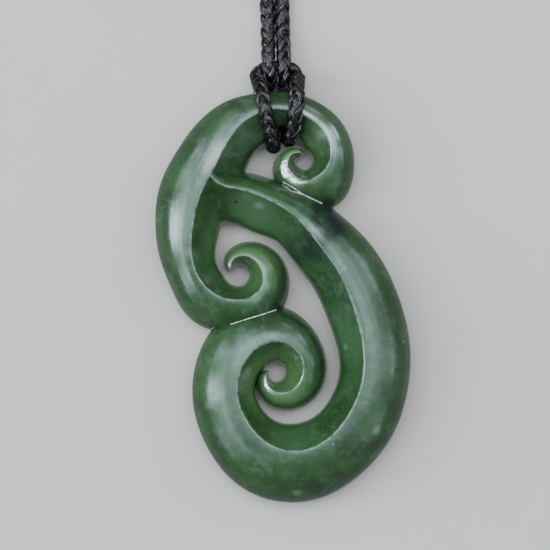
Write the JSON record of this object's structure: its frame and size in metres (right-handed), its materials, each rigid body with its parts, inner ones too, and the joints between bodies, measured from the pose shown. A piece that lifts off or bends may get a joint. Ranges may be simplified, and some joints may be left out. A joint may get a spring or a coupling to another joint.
{
  "type": "stone pendant on a cord",
  "caption": "Carved green stone pendant of interlocking curls with a flat back, hitched on a loop of round braided cord.",
  "frame": {"origin": "on the surface that the stone lies on, under the middle of the stone's own box", "axes": "+Y from the lowest curve to the top rim where the cord is hitched, +Z out of the carved face"},
  "size_m": [0.0374, 0.1675, 0.0097],
  "materials": {
    "green_stone": "carved and polished, glossy, softly translucent at its thin ends",
    "black_braid": "waxed round braid, slightly glossy"
  },
  "bodies": {
    "root": {"pendant": "green_stone", "cord": "black_braid", "closing_knot": "black_braid"}
  },
  "joints": []
}
